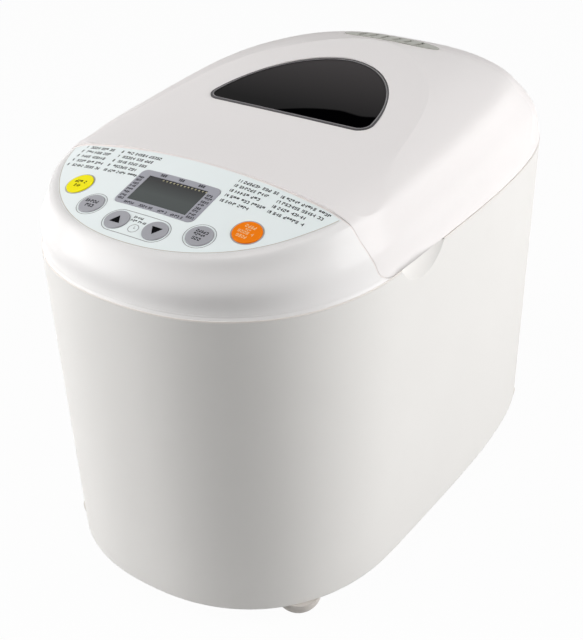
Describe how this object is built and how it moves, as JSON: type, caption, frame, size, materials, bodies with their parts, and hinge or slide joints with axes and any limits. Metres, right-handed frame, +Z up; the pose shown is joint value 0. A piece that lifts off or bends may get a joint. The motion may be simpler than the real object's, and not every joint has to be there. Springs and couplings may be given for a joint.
{
  "type": "bread machine",
  "caption": "Oval countertop bread machine with sloping control panel, hinged lid with viewing window, lift-out pan and belt-driven kneading paddle.",
  "frame": {"origin": "middle of the footprint on the plane the feet stand on", "axes": "+X to the object's right seen from the front, +Y from the control panel to the hinge, +Z up"},
  "size_m": [0.2298, 0.3854, 0.2877],
  "materials": {
    "white_gloss": "glossy moulded ABS",
    "white_satin": "satin moulded plastic",
    "panel_mint": "printed membrane",
    "grey_trim": "fine matt",
    "grey_key": "matt",
    "yellow_key": "glossy",
    "orange_key": "glossy",
    "display_glass": "glossy",
    "window_glass": "tinted tempered glass",
    "seal_rubber": "soft seal",
    "belt_rubber": "ribbed",
    "foot_grey": "soft",
    "black_plastic": "matt",
    "board_green": "solder mask",
    "steel_sheet": "pressed sheet",
    "steel_rod": "drawn",
    "heater_steel": "heat-tinted",
    "bead_ceramic": "unglazed",
    "cast_metal": "die-cast",
    "bush_bronze": "sintered",
    "lamination": "stacked sheet",
    "copper_wire": "enamelled wire",
    "pan_coating": "dark non-stick coating"
  },
  "bodies": {
    "casing": {"body_shell": "white_satin", "hinge_pins": "steel_rod", "cord_inlet": "black_plastic", "base_plate": "white_satin", "foot_front_left": "foot_grey", "foot_front_right": "foot_grey", "foot_rear_left": "foot_grey", "foot_rear_right": "foot_grey", "base_screws": "steel_rod", "control_housing": "white_gloss", "panel_overlay": "panel_mint", "display_bezel": "grey_trim", "lcd_glass": "display_glass", "lcd_module": "black_plastic", "control_board": "board_green", "tact_switches": "black_plastic", "chamber_deck": "white_satin", "oven_chamber": "steel_sheet", "heating_element": "heater_steel", "heater_beads": "bead_ceramic", "heater_clips": "steel_sheet", "temperature_probe": "steel_rod", "pan_seat": "steel_sheet", "pan_clips": "steel_sheet", "chassis_plate": "steel_sheet", "bearing_housing": "cast_metal", "shaft_bushes": "bush_bronze", "motor_bracket_low": "cast_metal", "motor_bracket_high": "cast_metal", "motor_stator": "lamination", "motor_coils": "copper_wire", "motor_bolts": "steel_rod", "power_board": "board_green", "drive_belt": "belt_rubber"},
    "lid": {"lid_shell": "white_gloss", "lid_liner": "steel_sheet", "window_gasket": "seal_rubber", "window_glass": "window_glass", "inner_window": "window_glass", "vent_grille": "grey_trim"},
    "drive": {"drive_shaft": "steel_rod", "drive_pulley": "black_plastic", "drive_coupling": "cast_metal"},
    "motor": {"motor_rotor": "lamination", "motor_shaft": "steel_rod", "motor_fan": "black_plastic", "motor_pulley": "steel_rod"},
    "pan": {"bread_pan": "pan_coating", "pan_base_ring": "cast_metal", "pan_bush": "bush_bronze"},
    "kneader": {"pan_shaft": "steel_rod", "pan_wing": "cast_metal"},
    "paddle": {"kneading_paddle": "pan_coating"},
    "handle": {"pan_handle": "steel_rod"},
    "menu_key": {"menu_button": "yellow_key"},
    "start_key": {"start_button": "orange_key"},
    "weight_key": {"weight_button": "grey_key"},
    "color_key": {"color_button": "grey_key"},
    "up_key": {"up_button": "grey_key"},
    "down_key": {"down_button": "grey_key"}
  },
  "joints": [
    {"name": "lid_hinge", "type": "hinge", "parent": "casing", "child": "lid", "pos_m": [0, 0.18775, 0.219], "axis": [-1, 0, 0], "range_deg": [0, 95]},
    {"name": "pan_lift", "type": "slide", "parent": "casing", "child": "pan", "axis": [0, 0, 1], "range_m": [0, 0.025]},
    {"name": "handle_swing", "type": "hinge", "parent": "pan", "child": "handle", "pos_m": [0, 0.024, 0.2145], "axis": [0, -1, 0], "range_deg": [0, 35]},
    {"name": "drive_spin", "type": "hinge", "parent": "casing", "child": "drive", "pos_m": [0, 0.024, 0.05], "axis": [0, 0, 1], "continuous": true},
    {"name": "motor_spin", "type": "hinge", "parent": "casing", "child": "motor", "pos_m": [0, -0.124, 0.05], "axis": [0, 0, 1], "continuous": true},
    {"name": "kneader_spin", "type": "hinge", "parent": "pan", "child": "kneader", "pos_m": [0, 0.024, 0.08], "axis": [0, 0, 1], "continuous": true},
    {"name": "paddle_lift", "type": "slide", "parent": "kneader", "child": "paddle", "axis": [0, 0, 1], "range_m": [0, 0.04]},
    {"name": "menu_key_press", "type": "slide", "parent": "casing", "child": "menu_key", "axis": [0.1085, 0.2618, -0.959], "range_m": [0, 0.0008], "stiffness_N_per_m": 500, "springref_m": -0.0004},
    {"name": "start_key_press", "type": "slide", "parent": "casing", "child": "start_key", "axis": [-0.1085, 0.2618, -0.959], "range_m": [0, 0.0008], "stiffness_N_per_m": 500, "springref_m": -0.0004},
    {"name": "weight_key_press", "type": "slide", "parent": "casing", "child": "weight_key", "axis": [0.0697, 0.2627, -0.9623], "range_m": [0, 0.0008], "stiffness_N_per_m": 500, "springref_m": -0.0004},
    {"name": "color_key_press", "type": "slide", "parent": "casing", "child": "color_key", "axis": [-0.0697, 0.2627, -0.9623], "range_m": [0, 0.0008], "stiffness_N_per_m": 500, "springref_m": -0.0004},
    {"name": "up_key_press", "type": "slide", "parent": "casing", "child": "up_key", "axis": [0.0245, 0.2633, -0.9644], "range_m": [0, 0.0008], "stiffness_N_per_m": 500, "springref_m": -0.0004},
    {"name": "down_key_press", "type": "slide", "parent": "casing", "child": "down_key", "axis": [-0.0245, 0.2633, -0.9644], "range_m": [0, 0.0008], "stiffness_N_per_m": 500, "springref_m": -0.0004}
  ],
  "couplings": [
    {"joint": "motor_spin", "follows": "drive_spin", "ratio": 5.49},
    {"joint": "kneader_spin", "follows": "drive_spin", "ratio": 1}
  ]
}
